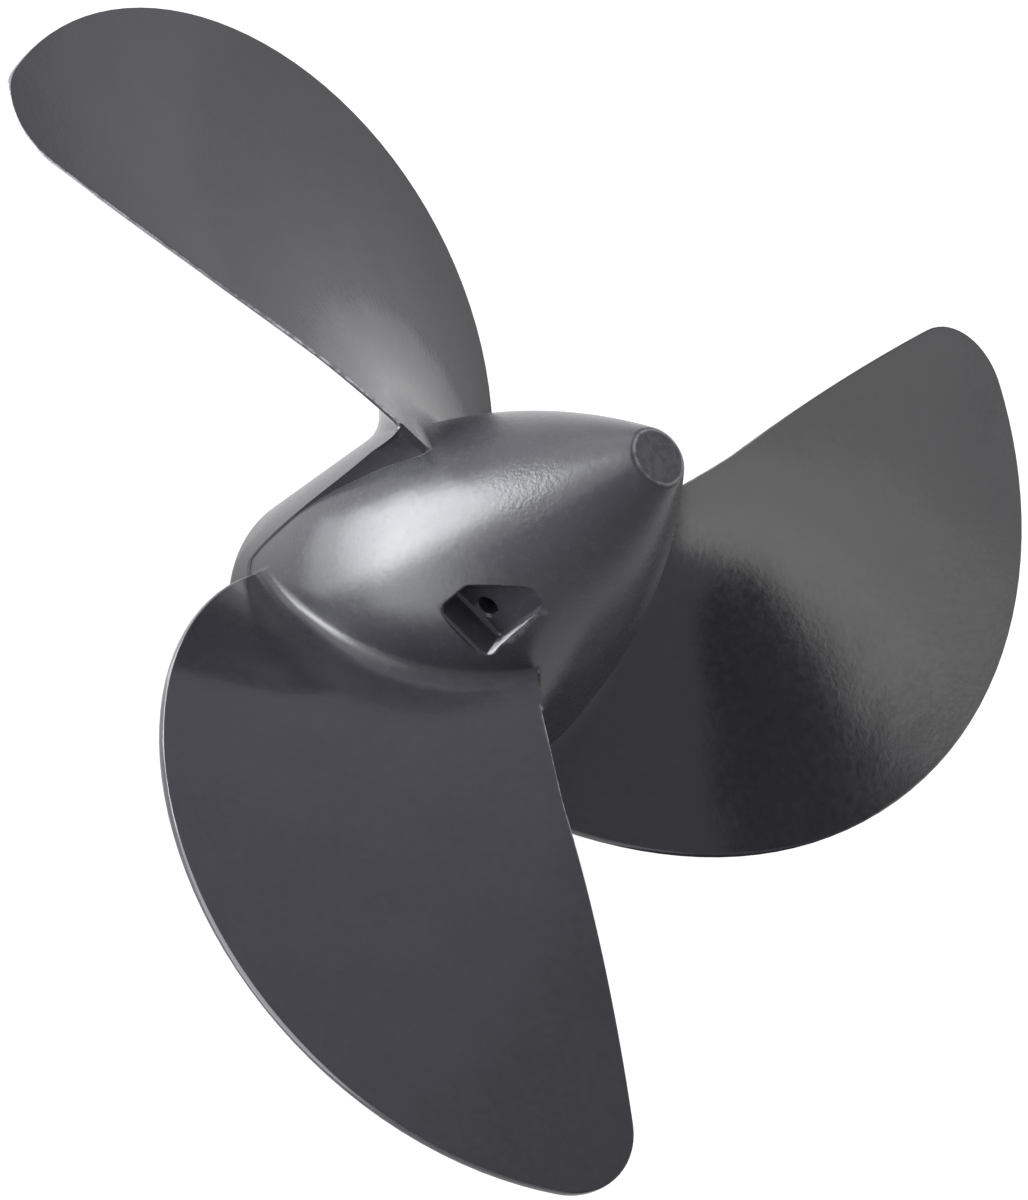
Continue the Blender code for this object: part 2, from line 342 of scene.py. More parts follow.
def forward_column(j):
    """Points from the rim up the skirt and out to the tip, at one fraction of the chord."""
    s, angle = chords[j], root_angles[j]
    corner = forward_point(SKIRT_RADIUS, s)
    tighter = FORWARD_LOSS * max(0, (s - TIGHT_FROM) / (1 - TIGHT_FROM)) ** 2
    size = min(FORWARD_FILLET, 0.5 * corner[2]) * (1 - tighter)
    wall = at(SKIRT_RADIUS, angle, corner[2] - size)
    radii = SKIRT_RADIUS + size + (INNER_TIP - SKIRT_RADIUS - size) * spans
    face = [forward_point(r, s) for r in radii]
    heights = np.linspace(wall[2], RIM_ROUNDING, SKIRT_STEPS + 1)
    skirt = [at(SKIRT_RADIUS, angle, h) for h in heights[::-1]]
    return skirt[:-1] + list(fillet(wall, corner, face[0])) + face[1:]


forward = np.array([forward_column(j) for j in range(CHORD_STEPS + 1)])
lay(forward)
print("forward side:", forward.shape[0], "columns of", forward.shape[1], "points")

# %% [markdown]
# The round edges
#
# A cast blade ends in a small round edge and not in a knife. A strip of net goes round it as a
# half circle, from the forward face to the aft face. At the root the strip widens into its own
# small fillet on the wall. At the leading edge that fillet is tight on the aft side and wide on the
# forward side, as the two faces' own fillets are. The two faces have different numbers of rows near
# the root, so the last thin gap is filled with triangles that step along both lines at one pace.

# %% The edges of one blade
EDGE_STEPS = 7
LEADING_FILLET = 0.9
TRAILING_FILLET = 0.9
OUTWARD_POWER = 0.6  # below 1, so the half circle is a little square
UPRIGHT_POWER = 0.75
ONWARD = (0.5, 1.0)  # two points that lead on from the tight fillet to the wide one's end


def edge_strip(side):
    """Rows of points round one edge, from the wall to the tip, from aft to forward."""
    j = 0 if side < 0 else CHORD_STEPS
    side_fillet = LEADING_FILLET if side < 0 else TRAILING_FILLET
    border = forward[j][SKIRT_STEPS:]
    turns = np.linspace(0, math.pi, EDGE_STEPS + 1)

    def section(point):
        radius = min(math.hypot(point[0], point[1]), INNER_TIP)
        size = edge_inset(radius)
        outward = point[:2] - edge_of_blade(radius, side, size)[1]
        outward = outward / np.linalg.norm(outward)
        half = thickness_below(radius, 0 if side < 0 else 1) / 2
        row = []
        for turn in turns:
            x, y = point[:2] + outward * size * math.sin(turn) ** OUTWARD_POWER
            upright = math.copysign(abs(math.cos(turn)) ** UPRIGHT_POWER, math.cos(turn))
            z = face_height(math.hypot(x, y), math.atan2(y, x)) - half + half * upright
            row.append((x, y, z))
        return np.array(row)

    face = np.array([section(p) for p in border[FILLET_STEPS:]])
    foot = section(forward_point(SKIRT_RADIUS, chords[j]))
    aft_fillet_end = section(forward_point(HUB_RADIUS + LEADING_SHARE * AFT_FILLET, chords[j]))
    top, low = aft[j][HUB_ROWS - 1 if side < 0 else NEAR_ROW], border[0]
    rise, drop = top[2] - foot[0][2], foot[-1][2] - low[2]
    root = []
    for k, turn in enumerate(turns):
        z = foot[k][2] + rise * math.cos(turn / 2) ** 2 - drop * math.sin(turn / 2) ** 2
        start = side * side_fillet / HUB_RADIUS * math.sin(turn) ** 2
        angle = math.atan2(foot[k][1], foot[k][0]) + start
        wall = at(SKIRT_RADIUS if side > 0 else skirt_wall(z), angle, z)
        wide = fillet(wall, foot[k], face[0][k])
        tight = fillet(wall, foot[k], aft_fillet_end[k], FILLET_STEPS - len(ONWARD))
        onward = [aft_fillet_end[k] + t * (face[0][k] - aft_fillet_end[k]) for t in ONWARD]
        share = 1 if side > 0 else math.sin(turn / 2) ** 2
        root.append((1 - share) * np.concatenate([tight, onward]) + share * wide)
    strip = np.concatenate([np.array(root).transpose(1, 0, 2)[:-1], face])
    strip[0][0] = top
    strip[:, -1] = border
    return strip


leading, trailing = edge_strip(-1), edge_strip(1)
lay(leading[:, 1:])
lay(trailing[:, 1:])
zip_up(aft[0][HUB_ROWS - 1 :], leading[:, 1])
zip_up(aft[CHORD_STEPS][NEAR_ROW:], trailing[:, 1])
print("round edges:", leading.shape[0] + trailing.shape[0], "rows of", EDGE_STEPS, "faces")

# %% [markdown]
# Between two blades: the parting step
#
# The die that cast this part has two halves. Behind each trailing edge their parting surface
# leaves a step on the hub: a shelf that drops steeply from the blade's root to the ring at the
# front. It could be drawn in as a line in the material, but it catches light and shade of its
# own, so it belongs in the net. Its edge is one curve through a few points, each an angle behind
# the blade and a height: flat for 1 mm behind the trailing edge, then steep, then onto the ring.

# %% The gap behind one blade
GAP_STEPS = 40
FOOT_COLUMN = 28  # columns spent on the step, the others are on the ring
STEP_EDGE = [(7.0, 37.6), (8.1, 35.4), (8.8, 31.8), (10.4, 27.5), (11.8, 21.5), (13.6, 14.5)]
STEP_EDGE += [(17.0, 8.0), (20.5, RING_HEIGHT)]
RING_RISE = 0.3  # how much the ring's edge rises towards the next blade
HOLLOW = 0.15  # size of the hollow between the hub and the step
ROOM_SHARE = 0.45  # a hollow or a round edge takes at most this share of its room
LEDGE_SLOPE = 4  # how steeply the step falls outwards
SLOPE_COLUMNS = 12  # it is level for so many columns, and gets steeper over as many
BULGE_COLUMNS = 5  # the trailing edge's own fillet fades out over these
step_top = aft[CHORD_STEPS][NEAR_ROW]
step_start = math.atan2(step_top[1], step_top[0])
gap_end = root_angles[0] + SECTOR


def smooth_line(points, count, fine_steps=24):
    """Evenly spaced points on a smooth curve through a few given ones."""
    points = np.asarray(points, float)
    ends = np.vstack([2 * points[0] - points[1], points, 2 * points[-1] - points[-2]])
    fine = []
    for i in range(len(points) - 1):
        a, b, c, d = ends[i : i + 4]
        for t in np.linspace(0, 1, fine_steps, endpoint=False):
            fine.append(0.5 * (2 * b + (c - a) * t + (2 * a - 5 * b + 4 * c - d) * t**2
                               + (3 * b - a - 3 * c + d) * t**3))
    fine = np.array(fine + [points[-1]])
    along = np.concatenate([[0], np.cumsum(np.linalg.norm(np.diff(fine, axis=0), axis=1))])
    even = np.linspace(0, along[-1], count)
    return np.array([np.interp(even, along, fine[:, k]) for k in range(points.shape[1])]).T


# Along the step edge the angle counts as millimetres on the skirt, so that the spacing is even.
ring_mm = [(math.radians(a) * SKIRT_RADIUS, z) for a, z in STEP_EDGE]
step_edge = smooth_line([(step_start * SKIRT_RADIUS, step_top[2])] + ring_mm, FOOT_COLUMN + 1)


def gap_column(c):
    """Points down the hub, across the step and down the skirt, between two blades."""
    if c <= FOOT_COLUMN:
        angle, z = step_edge[c][0] / SKIRT_RADIUS, step_edge[c][1]
    else:
        share = (c - FOOT_COLUMN) / (GAP_STEPS - FOOT_COLUMN)
        foot = step_edge[-1][0] / SKIRT_RADIUS
        angle = foot + (gap_end - LEADING_FILLET / HUB_RADIUS - foot) * share
        z = RING_HEIGHT + RING_RISE * share**2
    hollow = min(HOLLOW, ROOM_SHARE * (SKIRT_RADIUS - hub_radius(z)))
    wall = at(hub_radius(z + hollow), angle, z + hollow)
    corner = at(hub_radius(z), angle, z)
    radii = np.linspace(hub_radius(z) + hollow, SKIRT_RADIUS, NEAR_STEPS + 1)
    slope = LEDGE_SLOPE * min(1, max(0, c - SLOPE_COLUMNS) / SLOPE_COLUMNS)
    ledge = [at(r, angle, z - slope * (r - radii[0])) for r in radii]
    z = ledge[-1][2]
    low = z - min(step_top[2] - trailing[0][-1][2], ROOM_SHARE * z)
    bulge = TRAILING_FILLET / HUB_RADIUS * max(0, 1 - c / BULGE_COLUMNS)
    turns = np.linspace(0, math.pi, EDGE_STEPS + 1)[1:]
    band = [
        at(SKIRT_RADIUS, angle + bulge * math.sin(t) ** 2, z + (low - z) * math.sin(t / 2) ** 2)
        for t in turns
    ]
    heights = np.linspace(low, RIM_ROUNDING, SKIRT_STEPS + 1)[1:]
    skirt = [at(SKIRT_RADIUS, angle, h) for h in heights]
    upper = nose_and_hub(angle, wall[2])
    return upper + list(fillet(wall, corner, ledge[0]))[1:] + ledge[1:] + band + skirt


trailing_root = [*aft[CHORD_STEPS][: NEAR_ROW + 1], *trailing[0][1:]]
trailing_root += [*forward[CHORD_STEPS][:SKIRT_STEPS][::-1]]
gap = np.array([trailing_root] + [gap_column(c) for c in range(1, GAP_STEPS)])
lay(gap)
print("gap:", gap.shape[0], "columns of", gap.shape[1], "points")

# %% [markdown]
# Closing the net
#
# The last column of the gap meets the root of the next blade, the nose is closed with a flat disc
# and the front with a flat face. Then the third is copied twice round the shaft, and the seams are
# welded by distance. The welded skin has to be closed, so the open edges are counted.

# %% One closed casting
WELD = 0.004 * MM
SLIVER = 0.002 * MM
RIM_STEPS = 3


def turned(points, angle):
    """Points turned about the shaft."""
    c, s = math.cos(angle), math.sin(angle)
    return np.asarray(points) @ np.array([[c, s, 0], [-s, c, 0], [0, 0, 1]])


def rim_rows(point):
    """Points from the rim's edge, rounded, to the middle of the front face."""
    angle = math.atan2(point[1], point[0])
    inner = at(SKIRT_RADIUS - RIM_ROUNDING, angle, 0)
    return [*fillet(point, at(SKIRT_RADIUS, angle, 0), inner, RIM_STEPS), np.zeros(3)]


leading_root = [*aft[0][:HUB_ROWS], *leading[0][1:], *forward[0][:SKIRT_STEPS][::-1]]
next_root = turned(leading_root, SECTOR)
zip_up(gap[-1], next_root)

tops = [*aft[:, 0], *gap[1:, 0], next_root[0]]
lay([[np.array([0, 0, HUB_LENGTH]), top] for top in tops])
lay([rim_rows(p) for p in [*forward[:, 0], *gap[1:, -1], next_root[-1]]])

body = bmesh.new()
for blade in range(BLADES):
    added = [body.verts.new(p * MM) for p in turned(net_points, blade * SECTOR)]
    for face in net_faces:
        body.faces.new([added[i] for i in face])
bmesh.ops.remove_doubles(body, verts=body.verts, dist=WELD)
bmesh.ops.dissolve_degenerate(body, edges=body.edges, dist=SLIVER)
bmesh.ops.recalc_face_normals(body, faces=body.faces)
if body.calc_volume(signed=True) < 0:
    bmesh.ops.reverse_faces(body, faces=body.faces)
open_edges = sum(1 for e in body.edges if not e.is_manifold)
print(f"casting net: {len(body.verts)} points, {len(body.faces)} faces, {open_edges} open edges")

# %% Objects from nets
def new_object(name, mesh):
    piece = bpy.data.objects.new(name, mesh)
    bpy.context.collection.objects.link(piece)
    return piece


def from_net(name, net):
    mesh = bpy.data.meshes.new(name)
    net.to_mesh(mesh)
    net.free()
    return new_object(name, mesh)


casting = from_net("cast_propeller", body)
print("cast_propeller has", len(casting.data.vertices), "points")

# %% [markdown]
# What is cut out of the casting
#
# The front has a wide bore for the rubber bush and a narrow one behind it for the shaft. Two
# shallow pockets on the hub leave a flat floor round the hole for the split pin. Booleans suit
# these, because their edges are crisp on the real part too. Every cutter has rounded corners and
# a flared rim, so that the cut edges come out with the small radius that paint gives them.

# %% Cutters
BUSH_BORE_RADIUS = 15.5
BUSH_BORE_DEPTH = 30.0
SHAFT_BORE_RADIUS = 6.3
SHAFT_BORE_DEPTH = 44.0
PIN_HEIGHT = 38.9
PIN_HOLE_RADIUS = 1.4
POCKET_FLOOR = 15.0
POCKET_CORNERS = [(-4.4, 36.7), (4.4, 36.7), (4.4, 41.3), (1.76, 44.9), (-1.76, 49.0), (-4.4, 49.0)]
POCKET_CORNER_RADIUS = 0.9
POCKET_DRAFT = 0.1  # how far the wall stands outside the floor's outline
POCKET_HOLLOW = 0.6  # size of the hollow between floor and wall
POCKET_RIM = 0.35  # size of the rounding where the wall meets the hub
LOWEST_RIM = 0.7  # the rim keeps this height above the floor
SHALLOW, SHALLOW_SPAN = 0.8, 1.5  # where the pocket is shallower, the rim isn't flared
CLEARANCE = 3.0  # how far a pocket's cutter stands out of the hub
CLEARANCE_FLARE = 0.4


def join_rings(name, net, rings, closed=False):
    """A body whose skin runs from ring to ring. It has end caps, or is closed like a tyre."""
    pairs = list(zip(rings, rings[1:])) + ([(rings[-1], rings[0])] if closed else [])
    for low, high in pairs:
        for k in range(len(low)):
            n = (k + 1) % len(low)
            net.faces.new((low[k], low[n], high[n], high[k]))
    if not closed:
        net.faces.new(rings[0])
        net.faces.new(rings[-1])
    bmesh.ops.recalc_face_normals(net, faces=net.faces)
    return from_net(name, net)


def turned_body(name, profile, sides, closed=False):
    """A body of revolution about the shaft, from (radius, height) in millimetres."""
    net = bmesh.new()
    turns = [2 * math.pi * k / sides for k in range(sides)]
    rings = [[net.verts.new(at(r, a, z) * MM) for a in turns] for r, z in profile]
    return join_rings(name, net, rings, closed)


def pocket_loop(steps=5):
    """Points of the pocket's outline with round corners, each with its outward direction."""
    corners = [np.array(c) for c in POCKET_CORNERS]
    normals = []
    for a, b in zip(corners, corners[1:] + corners[:1]):
        d = (b - a) / np.linalg.norm(b - a)
        normals.append(np.array([d[1], -d[0]]))
    loop = []
    for i, corner in enumerate(corners):
        before, after = normals[i - 1], normals[i]
        middle = (before + after) / np.linalg.norm(before + after)
        centre = corner - middle * POCKET_CORNER_RADIUS / np.dot(middle, before)
        for t in np.linspace(0, 1, steps):
            n = (1 - t) * before + t * after
            n = n / np.linalg.norm(n)
            loop.append((centre + n * POCKET_CORNER_RADIUS, n))
    return loop


def pocket_cutter(name, side):
    """The floor's loop, then the wall and the flared rim, which follows the round hub."""
    net = bmesh.new()
    rings = []

    def surface(x, z):
        return math.sqrt(max(hub_radius(z) ** 2 - x**2, 0))

    def ring(offset, depth_of, flare=0.0):
        points = []
        for place, outward in pocket_loop():
            rim = min(1, max(0, (surface(*place) - POCKET_FLOOR - SHALLOW) / SHALLOW_SPAN))
            x, z = place + outward * (offset + flare * rim)
            points.append((x * side, depth_of(x, z) * side, z))
        rings.append([net.verts.new(Vector(p) * MM) for p in points])

    for turn in np.linspace(0, math.pi / 2, 5):
        inset, lift = (POCKET_HOLLOW * (1 - f(turn)) for f in (math.sin, math.cos))
        ring(-inset, lambda x, z, h=lift: POCKET_FLOOR + h)
    lowest = POCKET_FLOOR + LOWEST_RIM
    for turn in np.linspace(0, math.pi / 2, 6):
        down, out = (POCKET_RIM * (1 - f(turn)) for f in (math.sin, math.cos))
        ring(POCKET_DRAFT, lambda x, z, d=down: max(surface(x, z) - d, lowest), out)
    ring(POCKET_DRAFT, lambda x, z: surface(x, z) + CLEARANCE, CLEARANCE_FLARE)
    return join_rings(name, net, rings)


# Both profiles are (radius, height) along their own axis, with the rims flared.
bore_profile = [
    (BUSH_BORE_RADIUS + 1.6, -1.0),
    (BUSH_BORE_RADIUS + 0.6, 0.0),
    (BUSH_BORE_RADIUS + 0.18, 0.2),
    (BUSH_BORE_RADIUS, 0.6),
    (BUSH_BORE_RADIUS, BUSH_BORE_DEPTH),
    (SHAFT_BORE_RADIUS + 0.5, BUSH_BORE_DEPTH),
    (SHAFT_BORE_RADIUS, BUSH_BORE_DEPTH + 0.5),
    (SHAFT_BORE_RADIUS, SHAFT_BORE_DEPTH),
]
hole_profile = [(2.0, -30), (2.0, -15.2), (1.75, -15.0), (PIN_HOLE_RADIUS, -14.6)]
hole_profile += [(r, -z) for r, z in hole_profile[::-1]]
cutters = [turned_body("bore_cutter", bore_profile, sides=128)]
cutters += [pocket_cutter("pocket_cutter", 1), pocket_cutter("far_pocket_cutter", -1)]
hole = turned_body("pin_hole_cutter", hole_profile, sides=40)
across_hub = Matrix.Rotation(math.pi / 2, 4, "X")
hole.matrix_world = Matrix.Translation((0, 0, PIN_HEIGHT * MM)) @ across_hub
cutters.append(hole)
print(len(cutters), "cutters")

# %% The cuts
def cut_away(piece, cutters):
    """Cut some bodies out of a piece, and remove them."""
    for cutter in cutters:
        cut = piece.modifiers.new(cutter.name, "BOOLEAN")
        cut.object, cut.operation, cut.solver = cutter, "DIFFERENCE", "EXACT"
    bpy.context.view_layer.update()
    after_cuts = piece.evaluated_get(bpy.context.evaluated_depsgraph_get())
    mesh = bpy.data.meshes.new_from_object(after_cuts)
    piece.modifiers.clear()
    piece.data = mesh
    for cutter in cutters:
        bpy.data.objects.remove(cutter, do_unlink=True)


def smooth(piece, degrees=32):
    """Smooth shading, with edges sharper than an angle left sharp."""
    net = bmesh.new()
    net.from_mesh(piece.data)
    for face in net.faces:
        face.smooth = True
    for edge in net.edges:
        edge.smooth = len(edge.link_faces) == 2 and edge.calc_face_angle() < math.radians(degrees)
    net.to_mesh(piece.data)
    net.free()


cut_away(casting, cutters)
smooth(casting)
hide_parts("propeller_casting")
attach(casting, "root")
print("cast_propeller after the cuts:", len(casting.data.polygons), "faces")

# %% [markdown]
# Where the paint is thin, and painted highlights
#
# Liquid paint draws back from sharp edges, and handling rubs them first. On this part the pale
# primer colour is laid as a hair line along the trailing edges, clearest beside the hub, and round
# the flat of the nose: partly that wear and partly a painted highlight on the rounded edges. Along
# one edge of each pocket it is a painted highlight on the rounded rim. Each point of the mesh gets
# a number for that, and the material reads it: 0 where the paint is full, 1 where flakes of paint
# are left on the pale primer colour, and more than 2 where that colour is solid.

# %% Thin paint and painted highlights along edges
POCKET_HIGHLIGHT, FAINT = 2.5, 0.25
NOSE_REACH = 0.6  # a point this close to the nose's edge belongs to the nose
NOSE_LINE_INSET, NOSE_LINE_WIDTH = 0.25, 0.1
DISC_INSET, DISC_SHARE = 0.4, 0.1  # a few specks on the flat of the nose
BLADE_START = 24.6
EDGE_SHARE = 1.6
EDGE_LINE_WIDTH, EDGE_LINE_HEIGHT = 0.14, 0.3
EDGE_MARK_END, EDGE_MARK_SPAN = 56.0, 12.0  # the line is full up to 44 mm from the shaft, then fades
BLADE_REACH = math.radians(100)  # each blade starts less than this before its own angle 0
HIGHLIGHT_STRIP = (-4.95, -4.4)  # the pocket edge with a painted highlight: across the hub,
HIGHLIGHT_HEIGHTS = (36.9, 48.0)  # along it
HIGHLIGHT_DEPTHS = (0.01, 0.45)  # and below its surface


def near_line(distance, width):
    """1 on a line, and close to 0 at twice the width from it."""
    return math.exp(-((distance / width) ** 2))


def within(value, limits):
    return limits[0] < value < limits[1]


def nose_highlight_and_wear(radius):
    line = near_line(radius - NOSE_RADIUS + NOSE_LINE_INSET, NOSE_LINE_WIDTH)
    return max(line, DISC_SHARE if radius < NOSE_RADIUS - DISC_INSET else 0)


def trailing_edge_highlight_and_wear(radius, angle, z):
    edge = edge_of_blade(radius, 1)[0]
    beside, above = (angle - edge) * radius, z - face_height(radius, edge)
    fade = max(FAINT, min(1, (EDGE_MARK_END - radius) / EDGE_MARK_SPAN))
    line = EDGE_SHARE * fade * near_line(beside, EDGE_LINE_WIDTH)
    return line * near_line(above, EDGE_LINE_HEIGHT)


def edge_wear_and_painted_highlight(place):
    """How much pale primer colour a point of the casting gets, for worn paint and painted
    highlight.
    """
    x, y, z = (v / MM for v in place)
    radius, angle = math.hypot(x, y), math.atan2(y, x)
    across = math.copysign(x, x * y)  # the same on both sides of the hub
    # A pocket's edge: a painted highlight on its rounded rim, in the pale primer colour.
    if abs(y) > POCKET_FLOOR and within(z, HIGHLIGHT_HEIGHTS) and within(across, HIGHLIGHT_STRIP):
        return POCKET_HIGHLIGHT if within(hub_radius(z) - radius, HIGHLIGHT_DEPTHS) else FAINT
    # The nose: worn paint and a painted highlight round its edge, and worn specks on its flat.
    if radius < NOSE_RADIUS + NOSE_REACH and z > HUB_LENGTH - NOSE_REACH:
        return nose_highlight_and_wear(radius)
    if BLADE_START < radius < TIP_RADIUS:
        # The trailing edges: worn paint and a painted highlight on the round edge.
        return trailing_edge_highlight_and_wear(radius, (angle + BLADE_REACH) % SECTOR - BLADE_REACH, z)
    return 0.0


# The pale marks are partly worn paint and partly painted highlights on rounded edges.
thin = casting.data.attributes.new("edge_wear_and_painted_highlight", "FLOAT", "POINT")
shares = [edge_wear_and_painted_highlight(vertex.co) for vertex in casting.data.vertices]
thin.data.foreach_set("value", shares)
print(sum(1 for v in shares if v > 0.5), "points of", len(shares), "show primer")

# %% [markdown]
# The rubber bush and the brass sleeve
#
# The bush is moulded rubber that lets the propeller slip before a gear breaks. It shows only its
# front face and the gap round it, so its section gets a rounded lip and a moulded groove. The
# sleeve is turned brass with a slot across its front for the drive pin. Both are turned sections,
# and the slot is cut with a Boolean.

# %% Bush
GAP = 0.3
BUSH_FRONT = 1.6
BUSH_GROOVE = [(1.1, 0.0), (0.8, 0.12), (0.5, 0.5)]  # half width and depth, from rim to floor
SLEEVE_RADIUS = 9.0
back = BUSH_BORE_DEPTH - GAP


def rounded(corner, start, end, size, steps=4):
    """Points round a corner of a section, at a size from it on both sides."""
    corner, start, end = (np.array(p, float) for p in (corner, start, end))
    a = corner + size * (start - corner) / np.linalg.norm(start - corner)
    b = corner + size * (end - corner) / np.linalg.norm(end - corner)
    ts = np.linspace(0, 1, steps + 1)
    return [tuple((1 - t) ** 2 * a + 2 * (1 - t) * t * corner + t**2 * b) for t in ts]


inner, outer = SLEEVE_RADIUS + GAP, BUSH_BORE_RADIUS - GAP
middle = (inner + outer) / 2
section = rounded((inner, BUSH_FRONT), (inner, back), (outer, BUSH_FRONT), size=0.5)
section += [(middle - half, BUSH_FRONT + depth) for half, depth in BUSH_GROOVE]
section += [(middle + half, BUSH_FRONT + depth) for half, depth in BUSH_GROOVE[::-1]]
section += rounded((outer, BUSH_FRONT), (inner, BUSH_FRONT), (outer, back), size=0.8)
section += rounded((outer, back), (outer, BUSH_FRONT), (inner, back), size=0.5)
section += rounded((inner, back), (outer, back), (inner, BUSH_FRONT), size=0.3)
bush = turned_body("rubber_bush_ring", section, sides=128, closed=True)
smooth(bush, degrees=50)
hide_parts("rubber_bush")
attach(bush, "root")
print("rubber_bush_ring:", len(bush.data.polygons), "faces")

# %% Sleeve
SLEEVE_BORE_RADIUS = 6.1
SLEEVE_FRONT = 0.8
SLOT_WIDTH = 5.0
SLOT_DEPTH = 5.2
SLOT_ROUNDING = 0.5
SLOT_EXCESS = 6.0  # how much longer the slot's cutter is than the sleeve is wide
inner_front, outer_front = (SLEEVE_BORE_RADIUS, SLEEVE_FRONT), (SLEEVE_RADIUS, SLEEVE_FRONT)
inner_back, outer_back = (SLEEVE_BORE_RADIUS, back), (SLEEVE_RADIUS, back)
section = rounded(inner_front, inner_back, outer_front, size=0.6)
section += rounded(outer_front, inner_front, outer_back, size=0.3) + [outer_back, inner_back]
sleeve = turned_body("brass_sleeve", section, sides=96, closed=True)

slot_net = bmesh.new()
bmesh.ops.create_cube(slot_net, size=1)
slot_size = Vector((2 * SLEEVE_RADIUS + SLOT_EXCESS, SLOT_WIDTH, 2 * SLOT_DEPTH)) * MM
bmesh.ops.scale(slot_net, vec=slot_size, verts=slot_net.verts)
bmesh.ops.translate(slot_net, vec=(0, 0, SLEEVE_FRONT * MM), verts=slot_net.verts)
floor_edges = [
    edge
    for edge in slot_net.edges
    if all(v.co.z > SLEEVE_FRONT * MM for v in edge.verts)
    and edge.verts[0].co.y == edge.verts[1].co.y
]
bmesh.ops.bevel(
    slot_net, geom=floor_edges, offset=SLOT_ROUNDING * MM, segments=4, affect="EDGES", profile=0.5
)
cut_away(sleeve, [from_net("slot_cutter", slot_net)])
smooth(sleeve)
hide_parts("drive_sleeve")
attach(sleeve, "root")
print("brass_sleeve:", len(sleeve.data.polygons), "faces")

# %% [markdown]
# Materials: the helpers
#
# A colour is written as the hex code that a screen shows, and one function turns it into the
# linear numbers that the renderer works with. Patterns use object coordinates, which are metres
# here, so a noise with a scale of 1 / (12 * MM) has lumps about 12 mm wide.

# %% Colours and nodes
def colour(hex_code):
    """An sRGB hex colour as linear red, green, blue and alpha."""
    parts = [int(hex_code[i : i + 2], 16) / 255 for i in (1, 3, 5)]
    return (*[c / 12.92 if c <= 0.04045 else ((c + 0.055) / 1.055) ** 2.4 for c in parts], 1)


def shader_socket(material, word):
    """A socket of the material's Principled shader, such as ior or base_color."""
    name = word.replace("_", " ").title().replace("Ior", "IOR")
    return material.node_tree.nodes["Principled BSDF"].inputs[name]


def new_material(name, **settings):
    """A material whose shader sockets are set by name."""
    material = bpy.data.materials.new(name)
    material.use_nodes = True
    for word, value in settings.items():
        shader_socket(material, word).default_value = value
    return material


def add(material, kind, links=None, inputs=None, **settings):
    """One node with its settings, its input values and its incoming links."""
    node = material.node_tree.nodes.new(kind)
    for key, value in settings.items():
        setattr(node, key, value)
    for key, value in (inputs or {}).items():
        node.inputs[key].default_value = value
    for key, source in (links or {}).items():
        material.node_tree.links.new(source, node.inputs[key])
    return node


def coat(piece, material, **patterns):
    """Link patterns to the shader's sockets by name, and put the material on a piece."""
    for word, source in patterns.items():
        material.node_tree.links.new(source, shader_socket(material, word))
    piece.data.materials.clear()
    piece.data.materials.append(material)
    print(piece.name, "wears", material.name, "of", len(material.node_tree.nodes), "nodes")


white, mid_grey = (round(colour(code)[0], 3) for code in ("#ffffff", "#808080"))
print("white is", white, "and mid grey", mid_grey)

# %% [markdown]
# The casting: dark grey alkyd enamel, sprayed over primer on die-cast aluminium
#
# Outboard propellers of this kind are dipped or sprayed in a dark grey enamel with a touch of
# violet in it. Its resin has an index of refraction of 1.5, so the mirror image of the room stays
# weak, about 4 percent, until the surface is seen at a low angle. The blades come smooth from the
# polished die and the paint flows out on them: their reflections are sharp. The hub keeps some
# grain of the casting, so its highlight is soft. Three things break the perfect surface: paint
# that is a little thicker here than there, orange peel of the spray, and long shallow waves of the
# metal, which make straight reflections wander.

# %% Dark grey enamel
enamel = new_material("grey_enamel", base_color=colour("#302f34"), roughness=0.2, ior=1.5)
place = add(enamel, "ShaderNodeTexCoord").outputs["Object"]

# 1 on the hub, 0 on the blades, from the distance to the shaft's axis.
xyz = add(enamel, "ShaderNodeSeparateXYZ", {"Vector": place})
flat_place = add(enamel, "ShaderNodeCombineXYZ", {"X": xyz.outputs["X"], "Y": xyz.outputs["Y"]})
from_shaft = add(enamel, "ShaderNodeVectorMath", {0: flat_place.outputs[0]}, operation="LENGTH")
on_hub = add(enamel, "ShaderNodeMapRange", {"Value": from_shaft.outputs["Value"]},
             {"From Min": 23.8 * MM, "From Max": 28.5 * MM, "To Min": 1.0, "To Max": 0.0})

# Paint thickness: clouds of 12 mm and specks of 1.2 mm shift the grey a little.
cloud = add(enamel, "ShaderNodeTexNoise", {"Vector": place},
            {"Scale": 1 / (12 * MM), "Detail": 4.0, "Roughness": 0.6})
speck = add(enamel, "ShaderNodeTexNoise", {"Vector": place},
            {"Scale": 1 / (1.2 * MM), "Detail": 3.0, "Roughness": 0.6})
mottle = add(enamel, "ShaderNodeMath", {0: cloud.outputs["Fac"], 1: speck.outputs["Fac"]},
             operation="ADD")
tone = add(enamel, "ShaderNodeMapRange", {"Value": mottle.outputs[0]},
           {"From Min": 0.7, "From Max": 1.3})
paint = add(enamel, "ShaderNodeMix", {0: tone.outputs[0]},
            {6: colour("#2e2d32"), 7: colour("#343338")}, data_type="RGBA")

# Pale primer colour on the edges, for worn paint and for painted highlights, broken by the specks
# as real rubbing is.
edge_mark_share = add(enamel, "ShaderNodeAttribute", attribute_name="edge_wear_and_painted_highlight").outputs["Fac"]
mark_breakup = add(enamel, "ShaderNodeMapRange", {"Value": speck.outputs["Fac"]},
             {"From Min": 0.42, "From Max": 0.56, "To Min": 0.4, "To Max": 1.0})
edge_marks = add(enamel, "ShaderNodeMath", {0: edge_mark_share, 1: mark_breakup.outputs[0]},
           operation="MULTIPLY", use_clamp=True)
skin = add(enamel, "ShaderNodeMix", {0: edge_marks.outputs[0], 6: paint.outputs[2]},
           {7: colour("#a4a5a8")}, data_type="RGBA")

